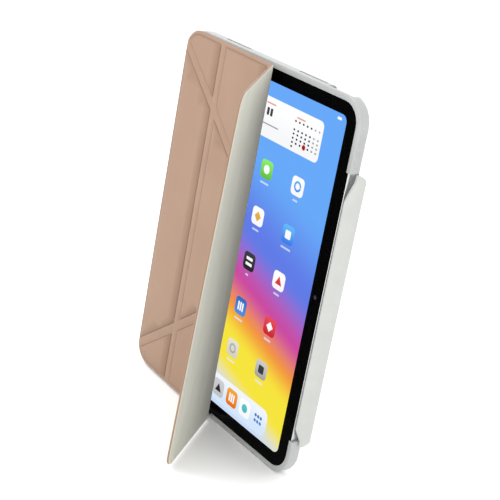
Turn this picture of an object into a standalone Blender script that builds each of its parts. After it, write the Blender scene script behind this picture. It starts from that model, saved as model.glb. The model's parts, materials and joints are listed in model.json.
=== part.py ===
"""Tablet computer in a folio case: a clear shell, a folding cover and a pencil flap.

The tablet stands on its short edge, with its screen facing -Y, +X to the right and +Z up. Every
piece is first placed in the tablet's own frame (millimetres times MM, origin at the middle of the
front glass, +Y into the tablet), under one empty that puts the whole on the ground.
"""

import math

import bmesh
import bpy
from mathutils import Vector

MM = 0.001

# Tablet
HEIGHT = 248.6 * MM
WIDTH = 179.5 * MM
DEPTH = 7.0 * MM
CORNER = 15.0 * MM
BACK_EDGE = 0.8 * MM  # radius of the housing's back edge
RIM = 0.5 * MM  # housing rim beside the glass
WALL = 1.4 * MM  # housing wall behind the glass
BACK = 0.8 * MM  # housing back
GLASS = 0.9 * MM
SCREEN_H = 227.06 * MM
SCREEN_W = 157.79 * MM
PANEL = 1.1 * MM
BACKLIGHT = 0.7 * MM
GAP = 0.15 * MM  # clearance between layers that touch
FIT = 0.3 * MM  # clearance between pieces that are pushed together

# Buttons and holes of the tablet
POWER_X = 67.0 * MM
POWER_LENGTH = 17.5 * MM
VOLUME_Z = (103.0 * MM, 90.0 * MM)
VOLUME_LENGTH = 10.4 * MM
BUTTON_Y = 3.9 * MM
BUTTON_W = 2.4 * MM
BUTTON_PROUD = 0.45 * MM
BUTTON_DEEP = 2.2 * MM
PAD_PROUD = 0.25 * MM  # of the shell's soft pads over the volume buttons
PAD_HALF = (1.7 * MM, 5.4 * MM)
REAR_CAMERA = (76.0 * MM, 110.5 * MM)
REAR_CAMERA_R = 5.6 * MM
FRONT_CAMERA = (83.6 * MM, -0.6 * MM)
PORT_W = 9.0 * MM
PORT_H = 3.2 * MM
PORT_Y = 4.1 * MM
PORT_DEEP = 7.5 * MM
MOUTH_H = 2.5 * MM
CONTACT_Y = 3.7 * MM  # three contacts in the left side, as one oval plate
CONTACT_HALF = 7.2 * MM
LENS_R = 4.6 * MM
FRONT_LENS_R = 2.2 * MM

# Inside the housing: low and high corners (x, y, z), material, edge bevel; all in millimetres
BLOCKS = {
    "battery_left": ((-68, 3.5, -70), (-3, 5.9, 48), "battery", 0.5),
    "battery_right": ((3, 3.5, -70), (68, 5.9, 48), "battery", 0.5),
    "logic_board": ((-60, 3.5, 54), (58, 4.3, 84), "board", 0),
    "processor_shield": ((-40, 4.5, 58), (-6, 5.9, 80), "steel", 0.3),
    "memory_shield": ((2, 4.5, 58), (34, 5.9, 80), "steel", 0.3),
    "speaker_top_left": ((-66, 3.5, 90), (-20, 5.9, 118), "black_plastic", 0.5),
    "speaker_top_right": ((8, 3.5, 90), (54, 5.9, 118), "black_plastic", 0.5),
    "speaker_bottom_left": ((-66, 3.5, -118), (-20, 5.9, -80), "black_plastic", 0.5),
    "speaker_bottom_right": ((20, 3.5, -118), (66, 5.9, -80), "black_plastic", 0.5),
    "port_flex_cable": ((-4, 3.5, -116), (4, 3.8, -72), "flex", 0),
    "button_flex_cable": ((62, 3.8, 60), (74, 4.1, 98), "flex", 0),
    "side_magnet": ((-86.5, 3.5, -60), (-81, 5.9, 60), "steel", 0.3),
}
SCREWS = ((-56, 50.5), (54, 50.5), (-56, 86.6), (54, 86.6))
SCREW_R = 1.3
SCREW_SPAN = (3.5, 5.9)

# Clear shell
SHELL_SIDE = 91.75 * MM
SHELL_END = 125.95 * MM
SHELL_FRONT = -0.6 * MM
SHELL_BACK = 8.7 * MM
SHELL_CORNER = 17.0 * MM
SHELL_EDGE = 3.5 * MM  # radius of the long back edges
LIP_SIDE = 1.55 * MM  # how far the front lip reaches over the glass
LIP_END = 2.2 * MM
FLANGE = 5.0 * MM  # width of the soft rim around the hard back panel
SIDE_OPENING = (-98.0 * MM, 82.0 * MM)
POWER_CUT = (55.5 * MM, 78.5 * MM)
PORT_CUT = 5.6 * MM
CAMERA_WINDOW_R = 9.0 * MM
LIP_CORNER = 13.2 * MM
SHELL_POCKET_BACK = DEPTH + GAP
SOUND_SLOTS = ((-42, -1), (42, -1), (-42, 1), (38, 1))  # x in mm, and which end
SOUND_HALF = 14.0 * MM
SOUND_SPAN = (2.3 * MM, 4.9 * MM)

# Folding cover: layers, from the coloured skin inwards
SKIN = 0.5 * MM
BOARD = 0.6 * MM
LINING = 0.5 * MM
COVER = SKIN + BOARD + LINING + 2 * GAP
COVER_TOP = 125.3 * MM
COVER_BOTTOM = -124.1 * MM
COVER_CORNER = 16.5 * MM
FREE_CORNER = 9.0 * MM
BOARD_INSET = 2.6 * MM
CREASE = 7.0 * MM  # width of a crease between two boards
SPINE_X = -94.0 * MM
COVER_Y = -2.75 * MM
SPINE_AXIS_Y = 9.65 * MM
SPINE_HALF = 106.0 * MM
CREASE_U = 46.5 * MM  # from the spine corner to the upright crease
FOLD_U = 100.9 * MM  # from the spine corner to the fold
FLAP_WIDTH = 79.8 * MM
OPEN_ANGLE = math.radians(2.24)  # cover lifted off the glass
FOLD_ANGLE = math.radians(47.4)  # outer flap lifted off the middle panel
JUNCTION_Z = 80.2 * MM  # where the slanting creases cross the upright one
SLOPE_IN = 0.75
SLOPE_OUT = 0.78
STRIP_WIDTH = 30.0 * MM
STRIP_CORNER = 6.0 * MM
MAGNET_MARGIN = 8.0 * MM  # between the outer board and the flap's edge, for the magnets
MAGNETS = {"upper": (20 * MM, 95 * MM), "lower": (-95 * MM, -20 * MM)}

# Pencil flap, seen from above
PENCIL_FRONT = (91.6 * MM, -0.4 * MM)
PENCIL_CORNER = (94.2 * MM, 9.9 * MM)
PENCIL_ROOT = (92.3 * MM, 9.3 * MM)
PENCIL_WALL = 1.3 * MM
PENCIL_TOP = 81.7 * MM
PENCIL_BOTTOM = -101.0 * MM
PENCIL_ROUND = 7.0 * MM
PENCIL_RECESS = 4.6 * MM  # how far the front edge steps back at both ends
PENCIL_STEP = 4.0 * MM
PENCIL_RAMPS = (20.0 * MM, 15.0 * MM)  # where the ramps meet the front edge, from the top and bottom

ARC_STEPS = 6


def clear_scene():
    for item in list(bpy.data.objects):
        bpy.data.objects.remove(item, do_unlink=True)


def material(name, color, roughness, metallic=0.0, alpha=1.0):
    mat = bpy.data.materials.get(name) or bpy.data.materials.new(name)
    mat.use_nodes = True
    shader = mat.node_tree.nodes["Principled BSDF"]
    shader.inputs["Base Color"].default_value = (*color, 1.0)
    shader.inputs["Roughness"].default_value = roughness
    shader.inputs["Metallic"].default_value = metallic
    shader.inputs["Alpha"].default_value = alpha
    mat.diffuse_color = (*color, alpha)
    return mat


def empty(name, parent=None, location=(0, 0, 0), turn=0.0):
    item = bpy.data.objects.new(name, None)
    bpy.context.collection.objects.link(item)
    item.parent = parent
    item.location = location
    item.rotation_euler = (0, 0, turn)
    return item


def add_mesh(name, bm, parent, mat, smooth=True):
    bmesh.ops.recalc_face_normals(bm, faces=bm.faces)
    mesh = bpy.data.meshes.new(name)
    bm.to_mesh(mesh)
    bm.free()
    if smooth:
        mesh.shade_smooth()
        mesh.set_sharp_from_angle(angle=math.radians(35))
    item = bpy.data.objects.new(name, mesh)
    bpy.context.collection.objects.link(item)
    item.parent = parent
    if mat:
        mesh.materials.append(mat)
    return item


def rounded_rect(left, right, low, high, radii, steps=ARC_STEPS):
    """Outline of a rectangle, counter-clockwise from the lower right corner.

    radii are those of the lower right, upper right, upper left and lower left corners.
    """
    corners = ((right, low, -90), (right, high, 0), (left, high, 90), (left, low, 180))
    points = []
    for (x, z, start), radius in zip(corners, radii):
        if radius <= 0:
            points.append((x, z))
            continue
        cx = x - radius if x == right else x + radius
        cz = z - radius if z == high else z + radius
        for step in range(steps + 1):
            angle = math.radians(start + 90 * step / steps)
            points.append((cx + radius * math.cos(angle), cz + radius * math.sin(angle)))
    return points


def centred_rect(half_w, half_h, radius, steps=ARC_STEPS):
    return rounded_rect(-half_w, half_w, -half_h, half_h, (radius,) * 4, steps)


def circle(cx, cz, radius, steps=24):
    turns = [math.tau * step / steps for step in range(steps)]
    return [(cx + radius * math.cos(t), cz + radius * math.sin(t)) for t in turns]


def loft(bm, rings, place):
    """Closed body through rings of equally many points; place(a, b, c) gives each corner."""
    rows = [[bm.verts.new(place(a, b, level)) for a, b in ring] for level, ring in rings]
    bm.faces.new(rows[0])
    bm.faces.new(list(reversed(rows[-1])))
    count = len(rows[0])
    for near, far in zip(rows, rows[1:]):
        for i in range(count):
            j = (i + 1) % count
            bm.faces.new((near[j], near[i], far[i], far[j]))


def front_plane(a, b, level):
    return (a, level, b)


def side_plane(a, b, level):
    return (level, a, b)


def top_plane(a, b, level):
    return (a, b, level)


def slab(name, outline, low, high, parent, mat, place=front_plane):
    bm = bmesh.new()
    loft(bm, [(low, outline), (high, outline)], place)
    return add_mesh(name, bm, parent, mat)


def block(name, low, high, parent, mat, bevel=0.0):
    bm = bmesh.new()
    bmesh.ops.create_cube(bm, size=1.0)
    size = [b - a for a, b in zip(low, high)]
    centre = [(a + b) / 2 for a, b in zip(low, high)]
    bmesh.ops.scale(bm, vec=size, verts=bm.verts)
    bmesh.ops.translate(bm, vec=centre, verts=bm.verts)
    if bevel:
        bmesh.ops.bevel(bm, geom=bm.edges[:], offset=bevel, segments=2, affect="EDGES")
    return add_mesh(name, bm, parent, mat)


def cut(target, cutter):
    """Takes the cutter out of the target and hides the cutter from the build."""
    cutter.hide_render = True
    cutter.display_type = "WIRE"
    cutter.parent = target.parent
    boolean = target.modifiers.new("cut_" + cutter.name, "BOOLEAN")
    boolean.operation = "DIFFERENCE"
    boolean.solver = "EXACT"
    boolean.object = cutter


def trim(target, keeper):
    """Keeps only what lies inside the keeper."""
    cut(target, keeper)
    target.modifiers[-1].operation = "INTERSECT"


def thick_line(points, thickness):
    """Outline of a wall that follows points, with mitred corners."""
    half = thickness / 2
    line = [Vector(p) for p in points]
    sides = []
    for side in (1, -1):
        row = []
        for i, point in enumerate(line):
            before = (point - line[i - 1]).normalized() if i else None
            after = (line[i + 1] - point).normalized() if i + 1 < len(line) else None
            normals = [Vector((-d.y, d.x)) for d in (before, after) if d]
            normal = sum(normals, Vector((0, 0))).normalized()
            stretch = 1 / normal.dot(normals[0])
            row.append(tuple(point + normal * (side * half * stretch)))
        sides.append(row)
    return sides[0] + list(reversed(sides[1]))


def clip(outline, a, b, c):
    """Part of a convex outline where a * u + b * z <= c."""
    kept = []
    for i, here in enumerate(outline):
        there = outline[(i + 1) % len(outline)]
        d0 = a * here[0] + b * here[1] - c
        d1 = a * there[0] + b * there[1] - c
        if d0 <= 0:
            kept.append(here)
        if (d0 < 0 < d1) or (d1 < 0 < d0):
            t = d0 / (d0 - d1)
            kept.append((here[0] + t * (there[0] - here[0]), here[1] + t * (there[1] - here[1])))
    return kept


# ---- tablet


def tablet_outline(inset):
    return centred_rect(WIDTH / 2 - inset, HEIGHT / 2 - inset, CORNER - inset)


def build_housing(root, mats):
    bm = bmesh.new()
    soft = BACK_EDGE
    rings = [(0.1 * MM, tablet_outline(0.25 * MM)), (0.35 * MM, tablet_outline(0))]
    for step in range(4):
        angle = math.radians(30 * step)
        level = DEPTH - soft + soft * math.sin(angle)
        rings.append((level, tablet_outline(soft - soft * math.cos(angle))))
    loft(bm, rings, front_plane)
    housing = add_mesh("housing", bm, root, mats["aluminium"])
    seat = GLASS + 2 * GAP
    cut(housing, slab("cut_glass_seat", tablet_outline(RIM), -MM, seat, root, None))
    cut(housing, slab("cut_cavity", tablet_outline(WALL), seat - 0.1 * MM, DEPTH - BACK, root, None))
    camera_hole = circle(*REAR_CAMERA, REAR_CAMERA_R + GAP)
    cut(housing, slab("cut_camera_hole", camera_hole, DEPTH - 2 * BACK, DEPTH + MM, root, None))
    port = [(x, y + PORT_Y) for x, y in centred_rect(PORT_W / 2 + GAP, PORT_H / 2 + GAP, 1.6 * MM)]
    low = -HEIGHT / 2
    cut(housing, slab("cut_port", port, low - MM, low + 2 * WALL, root, None, top_plane))
    cut(housing, button_hole("cut_power", POWER_X, POWER_LENGTH, root))
    for label, z in zip(("up", "down"), VOLUME_Z):
        cut(housing, volume_hole("cut_volume_" + label, z, VOLUME_LENGTH, root))
    contact = contact_outline(0)
    left = -WIDTH / 2
    cut(housing, slab("cut_contacts", contact, left - MM, left + 2 * WALL, root, None, side_plane))


def contact_outline(inset):
    half = 1.1 * MM - inset
    long = CONTACT_HALF - inset
    return rounded_rect(CONTACT_Y - half, CONTACT_Y + half, -long, long, (MM - inset,) * 4, 3)


def button_hole(name, x, length, root):
    half = BUTTON_W / 2 + GAP
    outline = rounded_rect(
        x - length / 2 - GAP, x + length / 2 + GAP, BUTTON_Y - half, BUTTON_Y + half, (half,) * 4, 4
    )
    top = HEIGHT / 2
    return slab(name, outline, top - 2 * WALL, top + MM, root, None, top_plane)


def volume_hole(name, z, length, root):
    half = BUTTON_W / 2 + GAP
    outline = rounded_rect(
        BUTTON_Y - half, BUTTON_Y + half, z - length / 2 - GAP, z + length / 2 + GAP, (half,) * 4, 4
    )
    side = WIDTH / 2
    return slab(name, outline, side - 2 * WALL, side + MM, root, None, side_plane)


def build_glass_and_display(root, mats):
    face = tablet_outline(RIM + GAP)
    slab("front_glass", face, 0.05 * MM, 0.05 * MM + GLASS, root, mats["glass"])
    level = GLASS + 3 * GAP
    behind = level + PANEL + GAP
    panel = centred_rect(SCREEN_W / 2 + MM, SCREEN_H / 2 + MM, 5 * MM)
    slab("display_panel", panel, level, level + PANEL, root, mats["display"])
    frame = slab(
        "display_frame", tablet_outline(WALL + FIT), level, level + PANEL, root, mats["black_plastic"]
    )
    hole = centred_rect(SCREEN_W / 2 + 1.4 * MM, SCREEN_H / 2 + 1.4 * MM, 5.4 * MM)
    cut(frame, slab("cut_display", hole, 0, DEPTH, root, None))
    x, z = FRONT_CAMERA
    cut(frame, slab("cut_front_camera", circle(x, z, FRONT_LENS_R + 0.4 * MM), 0, DEPTH, root, None))
    slab("backlight", panel, behind, behind + BACKLIGHT, root, mats["white_plastic"])
    lens_back = level + 2.4 * MM
    slab("front_camera", circle(x, z, FRONT_LENS_R, 16), level, lens_back, root, mats["lens"])
    sensor = circle(x, z - 5.6 * MM, 0.9 * MM, 12)
    slab("light_sensor", sensor, behind, lens_back, root, mats["lens"])


def build_electronics(root, mats):
    for name, (low, high, kind, bevel) in BLOCKS.items():
        low, high = ([value * MM for value in corner] for corner in (low, high))
        block(name, low, high, root, mats[kind], bevel * MM)
    front, back = (level * MM for level in SCREW_SPAN)
    for index, (x, z) in enumerate(SCREWS, 1):
        outline = circle(x * MM, z * MM, SCREW_R * MM, 12)
        slab(f"board_screw_{index}", outline, front, back, root, mats["steel"])


def build_camera_and_port(root, mats):
    x, z = REAR_CAMERA
    slab("rear_camera", circle(x, z, LENS_R), 3.6 * MM, DEPTH + 0.1 * MM, root, mats["lens"])
    ring = slab("camera_ring", circle(x, z, REAR_CAMERA_R), DEPTH - BACK + GAP, DEPTH + 0.5 * MM, root,
                mats["aluminium"])
    cut(ring, slab("cut_ring", circle(x, z, LENS_R + GAP), 0, 2 * DEPTH, root, None))
    low = -HEIGHT / 2
    shell = [(px, py + PORT_Y) for px, py in centred_rect(PORT_W / 2, PORT_H / 2, 1.5 * MM)]
    port = slab("usb_c_port", shell, low + 0.2 * MM, low + PORT_DEEP, root, mats["steel"], top_plane)
    mouth = [(px, py + PORT_Y) for px, py in centred_rect(PORT_W / 2 - 0.35 * MM, MOUTH_H / 2, 1.2 * MM)]
    cut(port, slab("cut_mouth", mouth, low - MM, low + PORT_DEEP - MM, root, None, top_plane))
    contact = contact_outline(GAP)
    left = -WIDTH / 2
    slab("accessory_contacts", contact, left + 0.05 * MM, left + 1.8 * MM, root, mats["steel"],
         side_plane)


def build_buttons(root, mats):
    half = BUTTON_W / 2
    joint = empty("power_button_joint", root, (POWER_X, BUTTON_Y, HEIGHT / 2))
    outline = rounded_rect(-POWER_LENGTH / 2, POWER_LENGTH / 2, -half, half, (half,) * 4, 4)
    slab("power_button", outline, -BUTTON_DEEP, BUTTON_PROUD, joint, mats["aluminium"], top_plane)
    for label, z in zip(("up", "down"), VOLUME_Z):
        joint = empty(f"volume_{label}_joint", root, (WIDTH / 2, BUTTON_Y, z))
        outline = rounded_rect(-half, half, -VOLUME_LENGTH / 2, VOLUME_LENGTH / 2, (half,) * 4, 4)
        slab(f"volume_{label}_button", outline, -BUTTON_DEEP, BUTTON_PROUD, joint,
             mats["aluminium"], side_plane)
        wide, long = PAD_HALF
        outline = rounded_rect(-wide, wide, -long, long, (1.5 * MM,) * 4, 4)
        slab(f"volume_{label}_pad", outline, BUTTON_PROUD + GAP,
             SHELL_SIDE - WIDTH / 2 + PAD_PROUD, joint, mats["clear_soft"], side_plane)


# ---- clear shell


def shell_outline(inset):
    return centred_rect(SHELL_SIDE - inset, SHELL_END - inset, SHELL_CORNER - inset)


def box_cutter(name, low, high, root):
    return block(name, [v * MM for v in low], [v * MM for v in high], root, None)


def build_bumper(root, mats):
    bm = bmesh.new()
    front = 0.5 * MM
    rings = [(SHELL_FRONT, shell_outline(front)), (SHELL_FRONT + front, shell_outline(0))]
    steps = 5
    for step in range(steps + 1):
        angle = math.radians(90 * step / steps)
        level = SHELL_BACK - SHELL_EDGE * (1 - math.sin(angle))
        rings.append((level, shell_outline(SHELL_EDGE * (1 - math.cos(angle)))))
    loft(bm, rings, front_plane)
    bumper = add_mesh("shell_bumper", bm, root, mats["clear_soft"])
    lip = centred_rect(WIDTH / 2 - LIP_SIDE, HEIGHT / 2 - LIP_END, LIP_CORNER)
    cut(bumper, slab("cut_lip", lip, -9 * MM, 0.5 * MM, root, None))
    cut(bumper, slab("cut_pocket", tablet_outline(-GAP), -0.05 * MM, SHELL_POCKET_BACK, root, None))
    cut(bumper, slab("cut_back", shell_outline(FLANGE), 3 * MM, 20 * MM, root, None))
    low, high = (z / MM for z in SIDE_OPENING)
    back = SHELL_POCKET_BACK / MM
    cut(bumper, box_cutter("cut_side", (86.5, -5, low), (99, back, high), root))
    left, right = (x / MM for x in POWER_CUT)
    cut(bumper, box_cutter("cut_power_slot", (left, 0.6, 123.4), (right, 20, 140), root))
    wide = PORT_CUT / MM
    cut(bumper, box_cutter("cut_port_slot", (-wide, -9, -140), (wide, 6.4, -121), root))
    for label, z in zip(("up", "down"), VOLUME_Z):
        outline = rounded_rect(
            BUTTON_Y - 2 * MM, BUTTON_Y + 2 * MM, z - 5.7 * MM, z + 5.7 * MM, (1.8 * MM,) * 4, 4
        )
        cut(bumper, slab("cut_pad_" + label, outline, 85 * MM, 99 * MM, root, None, side_plane))
    for index, (x, end) in enumerate(SOUND_SLOTS):
        outline = rounded_rect(
            x * MM - SOUND_HALF, x * MM + SOUND_HALF, *SOUND_SPAN, (1.2 * MM,) * 4, 3
        )
        span = sorted((end * 120 * MM, end * 135 * MM))
        cut(bumper, slab(f"cut_sound_{index}", outline, *span, root, None, top_plane))


def build_back_panel(root, mats):
    outline = shell_outline(FLANGE + FIT)
    panel = slab("shell_back_panel", outline, DEPTH + GAP, SHELL_BACK - GAP, root, mats["clear_hard"])
    window = circle(*REAR_CAMERA, CAMERA_WINDOW_R, 32)
    cut(panel, slab("cut_window", window, 0, 20 * MM, root, None))
    left = SPINE_X
    strip = rounded_rect(
        left, left + STRIP_WIDTH, -SPINE_HALF, SPINE_HALF, (STRIP_CORNER, STRIP_CORNER, 0, 0), 4
    )
    slab("back_strip", strip, SHELL_BACK + GAP, SPINE_AXIS_Y - GAP, root, mats["skin"])


# ---- folding cover


def crease_centre(u):
    """Height of the upper slanting crease, at a distance u from the spine."""
    slope = SLOPE_IN if u < CREASE_U else SLOPE_OUT
    return JUNCTION_Z - slope * (u - CREASE_U)


def side_of_crease(outline, slope, sign, above):
    """Keeps the outline on one side of a slanting crease; sign -1 is its mirror image below."""
    reach = CREASE / 2 * math.hypot(1, slope)
    level = JUNCTION_Z + slope * CREASE_U
    keep = 1 if above else -1
    return clip(outline, -keep * slope, -keep * sign, -keep * level - reach)


def layer(name, outline, joint, mats, kind):
    starts = {"skin": 0.0, "board": SKIN + GAP, "lining": SKIN + BOARD + 2 * GAP}
    depth = {"skin": SKIN, "board": BOARD, "lining": LINING}[kind]
    low = starts[kind]
    return slab(name, outline, low, low + depth, joint, mats[kind])


def build_spine(spine, mats):
    start = COVER_Y - SPINE_AXIS_Y + COVER + FIT
    end = -1.15 * MM
    outline = rounded_rect(start, end, -SPINE_HALF, SPINE_HALF, (MM,) * 4, 2)
    inner = rounded_rect(
        start + 0.8 * MM, end - 0.8 * MM, 2 * MM - SPINE_HALF, SPINE_HALF - 2 * MM, (MM,) * 4, 2
    )
    levels = (("spine_skin", outline, 0.0, SKIN, "skin"),
              ("spine_board", inner, SKIN + GAP, SKIN + GAP + BOARD, "board"),
              ("spine_lining", outline, COVER - LINING, COVER, "lining"))
    for name, shape, low, high, kind in levels:
        slab(name, shape, low, high, spine, mats[kind], side_plane)


def build_inner_panel(joint, mats):
    right = CREASE_U - FIT / 2
    outline = rounded_rect(
        0, right, COVER_BOTTOM, COVER_TOP, (0, 0, COVER_CORNER, COVER_CORNER)
    )
    layer("inner_skin", outline, joint, mats, "skin")
    layer("inner_lining", outline, joint, mats, "lining")
    area = rounded_rect(
        BOARD_INSET, CREASE_U - CREASE / 2, COVER_BOTTOM + BOARD_INSET, COVER_TOP - BOARD_INSET,
        (0, 0, COVER_CORNER - BOARD_INSET, COVER_CORNER - BOARD_INSET)
    )
    top = side_of_crease(area, SLOPE_IN, 1, True)
    bottom = side_of_crease(area, SLOPE_IN, -1, True)
    middle = side_of_crease(side_of_crease(area, SLOPE_IN, 1, False), SLOPE_IN, -1, False)
    layer("inner_board_top", top, joint, mats, "board")
    layer("inner_board_middle", middle, joint, mats, "board")
    layer("inner_board_bottom", bottom, joint, mats, "board")


def build_middle_panel(joint, mats):
    width = FOLD_U - CREASE_U
    left = FIT / 2
    right = width - FIT / 2
    outline = rounded_rect(left, right, COVER_BOTTOM, COVER_TOP, (0, 0, 0, 0))
    layer("middle_skin", outline, joint, mats, "skin")
    layer("middle_lining", outline, joint, mats, "lining")
    area = rounded_rect(
        CREASE_U + CREASE / 2, FOLD_U - CREASE / 2, COVER_BOTTOM + BOARD_INSET,
        COVER_TOP - BOARD_INSET, (0, 0, 0, 0)
    )
    shapes = {
        "middle_board_top": side_of_crease(area, SLOPE_OUT, 1, True),
        "middle_board_middle": side_of_crease(
            side_of_crease(area, SLOPE_OUT, 1, False), SLOPE_OUT, -1, False),
        "middle_board_bottom": side_of_crease(area, SLOPE_OUT, -1, True),
    }
    for name, shape in shapes.items():
        shifted = [(u - CREASE_U, z) for u, z in shape]
        layer(name, shifted, joint, mats, "board")


def build_outer_flap(joint, mats):
    outline = rounded_rect(
        FIT / 2, FLAP_WIDTH, COVER_BOTTOM, COVER_TOP, (FREE_CORNER, FREE_CORNER, 0, 0)
    )
    layer("flap_skin", outline, joint, mats, "skin")
    layer("flap_lining", outline, joint, mats, "lining")
    start = CREASE / 2
    edge = FLAP_WIDTH - BOARD_INSET - MAGNET_MARGIN
    low = COVER_BOTTOM + BOARD_INSET
    high = COVER_TOP - BOARD_INSET
    root_z = crease_centre(FOLD_U + start)
    reach = CREASE / 2 * math.hypot(1, SLOPE_OUT)
    point = start + root_z / SLOPE_OUT
    inner = reach / SLOPE_OUT
    notch = [
        (start, -root_z - reach), (point + inner, 0), (start, root_z + reach),
    ]
    outer = [(start, low), (edge, low), (edge, high), (start, high)] + list(reversed(notch))
    layer("flap_board_outer", outer, joint, mats, "board")
    triangle = [
        (start, reach - root_z), (point - inner, 0), (start, root_z - reach)
    ]
    layer("flap_board_centre", triangle, joint, mats, "board")
    for label, span in MAGNETS.items():
        outline = rounded_rect(
            edge + 1.5 * MM, FLAP_WIDTH - BOARD_INSET, *span, (MM,) * 4, 2
        )
        low_level = SKIN + GAP
        slab(f"cover_magnet_{label}", outline, low_level, low_level + BOARD, joint, mats["steel"])


def build_pencil_flap(joint, mats):
    hinge = Vector(PENCIL_ROOT)
    points = [Vector(PENCIL_FRONT) - hinge, Vector(PENCIL_CORNER) - hinge, Vector((0, 0))]
    wall = thick_line(points, PENCIL_WALL)
    flap = slab("pencil_flap", wall, PENCIL_BOTTOM, PENCIL_TOP, joint, mats["pencil_flap"], top_plane)
    front = PENCIL_FRONT[1] - hinge.y
    back = 2.5 * MM
    inner = front + PENCIL_RECESS
    upper, lower = PENCIL_RAMPS
    side = rounded_rect(
        front - MM, back, PENCIL_BOTTOM, PENCIL_TOP, (PENCIL_ROUND, PENCIL_ROUND, 0, 0)
    )
    side = side[:-2]
    side += [
        (inner, PENCIL_TOP), (inner, PENCIL_TOP - PENCIL_STEP),
        (front - MM, PENCIL_TOP - upper), (front - MM, PENCIL_BOTTOM + lower),
        (inner, PENCIL_BOTTOM + PENCIL_STEP), (inner, PENCIL_BOTTOM),
    ]
    trim(flap, slab("keep_pencil_flap", side, -9 * MM, 9 * MM, joint, None, side_plane))


def build_materials():
    return {
        "aluminium": material("aluminium", (0.55, 0.56, 0.58), 0.35, 1.0),
        "glass": material("glass", (0.01, 0.01, 0.012), 0.05),
        "display": material("display", (0.05, 0.25, 0.75), 0.3),
        "black_plastic": material("black_plastic", (0.02, 0.02, 0.02), 0.5),
        "white_plastic": material("white_plastic", (0.85, 0.85, 0.85), 0.6),
        "lens": material("lens", (0.01, 0.01, 0.02), 0.08),
        "battery": material("battery", (0.06, 0.06, 0.065), 0.5),
        "board": material("board", (0.32, 0.32, 0.33), 0.7),
        "steel": material("steel", (0.6, 0.6, 0.6), 0.35, 1.0),
        "flex": material("flex", (0.45, 0.22, 0.05), 0.5),
        "clear_soft": material("clear_soft", (0.82, 0.83, 0.83), 0.35, 0.0, 0.5),
        "clear_hard": material("clear_hard", (0.86, 0.87, 0.87), 0.15, 0.0, 0.4),
        "pencil_flap": material("pencil_flap", (0.86, 0.87, 0.85), 0.45),
        "skin": material("skin", (0.60, 0.38, 0.28), 0.55),
        "lining": material("lining", (0.52, 0.51, 0.47), 0.9),
    }


def all_corners():
    """World corners of every piece that the build keeps."""
    bpy.context.view_layer.update()
    graph = bpy.context.evaluated_depsgraph_get()
    for item in bpy.data.objects:
        if item.type == "MESH" and not item.hide_render:
            shape = item.evaluated_get(graph)
            for corner in shape.bound_box:
                yield shape.matrix_world @ Vector(corner)


def put_on_ground(root):
    """Moves the root so that the middle of the whole box's underside is the origin."""
    corners = list(all_corners())
    low = [min(c[i] for c in corners) for i in range(3)]
    high = [max(c[i] for c in corners) for i in range(3)]
    root.location = (-(low[0] + high[0]) / 2, -(low[1] + high[1]) / 2, -low[2])


def main():
    clear_scene()
    mats = build_materials()
    root = empty("tablet_frame")
    build_housing(root, mats)
    build_glass_and_display(root, mats)
    build_electronics(root, mats)
    build_camera_and_port(root, mats)
    build_buttons(root, mats)
    build_bumper(root, mats)
    build_back_panel(root, mats)
    spine = empty("spine_joint", root, (SPINE_X, SPINE_AXIS_Y, 0))
    inner = empty("cover_joint", spine, (0, COVER_Y - SPINE_AXIS_Y, 0), -OPEN_ANGLE)
    middle = empty("crease_joint", inner, (CREASE_U, 0, 0))
    outer = empty("fold_joint", middle, (FOLD_U - CREASE_U, 0, 0), -FOLD_ANGLE)
    build_spine(spine, mats)
    build_inner_panel(inner, mats)
    build_middle_panel(middle, mats)
    build_outer_flap(outer, mats)
    build_pencil_flap(empty("pencil_flap_joint", root, (*PENCIL_ROOT, 0)), mats)
    put_on_ground(root)


main()
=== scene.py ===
import json
import math

import bmesh
import bpy
from mathutils import Matrix, Vector, noise


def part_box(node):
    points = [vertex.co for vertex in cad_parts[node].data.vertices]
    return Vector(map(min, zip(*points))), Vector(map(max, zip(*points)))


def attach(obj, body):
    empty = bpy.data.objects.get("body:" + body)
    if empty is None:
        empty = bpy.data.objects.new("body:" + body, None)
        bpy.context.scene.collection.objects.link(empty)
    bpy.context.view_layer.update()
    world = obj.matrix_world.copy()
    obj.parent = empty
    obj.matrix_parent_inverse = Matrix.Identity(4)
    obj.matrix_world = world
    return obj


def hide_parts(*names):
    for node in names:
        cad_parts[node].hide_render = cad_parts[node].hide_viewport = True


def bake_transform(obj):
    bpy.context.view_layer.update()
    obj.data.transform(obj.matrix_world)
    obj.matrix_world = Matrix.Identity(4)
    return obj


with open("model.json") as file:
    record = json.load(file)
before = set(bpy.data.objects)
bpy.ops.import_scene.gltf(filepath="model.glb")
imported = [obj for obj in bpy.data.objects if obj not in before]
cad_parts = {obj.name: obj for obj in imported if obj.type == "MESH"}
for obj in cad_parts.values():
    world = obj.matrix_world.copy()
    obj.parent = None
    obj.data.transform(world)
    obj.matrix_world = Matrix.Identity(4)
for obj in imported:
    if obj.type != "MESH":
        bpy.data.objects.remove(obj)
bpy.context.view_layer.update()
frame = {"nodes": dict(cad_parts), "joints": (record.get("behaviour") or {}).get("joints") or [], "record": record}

mm = 0.001
joints = {joint["name"]: joint for joint in frame["joints"]}
bodyOf = {node: body for body, nodes in frame["record"]["behaviour"]["bodies"].items() for node in nodes}
glassLow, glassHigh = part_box("front_glass")
glassFront = 0.05 * mm
origin = Vector(((glassLow.x + glassHigh.x) / 2, glassLow.y - glassFront, (glassLow.z + glassHigh.z) / 2))

# Everything below is in millimetres from the middle of the front glass: x right, y into the tablet, z up


def at(x, y, z):
    return origin + Vector((x, y, z)) * mm


def inMm(point):
    return (Vector(point) - origin) / mm


def boxMm(node):
    low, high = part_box(node)
    return inMm(low), inMm(high)


# Outlines and solids

def arc(centre, radius, start, end, steps):
    angles = [math.radians(start + (end - start) * step / steps) for step in range(steps + 1)]
    return [(centre[0] + radius * math.cos(a), centre[1] + radius * math.sin(a)) for a in angles]


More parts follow.
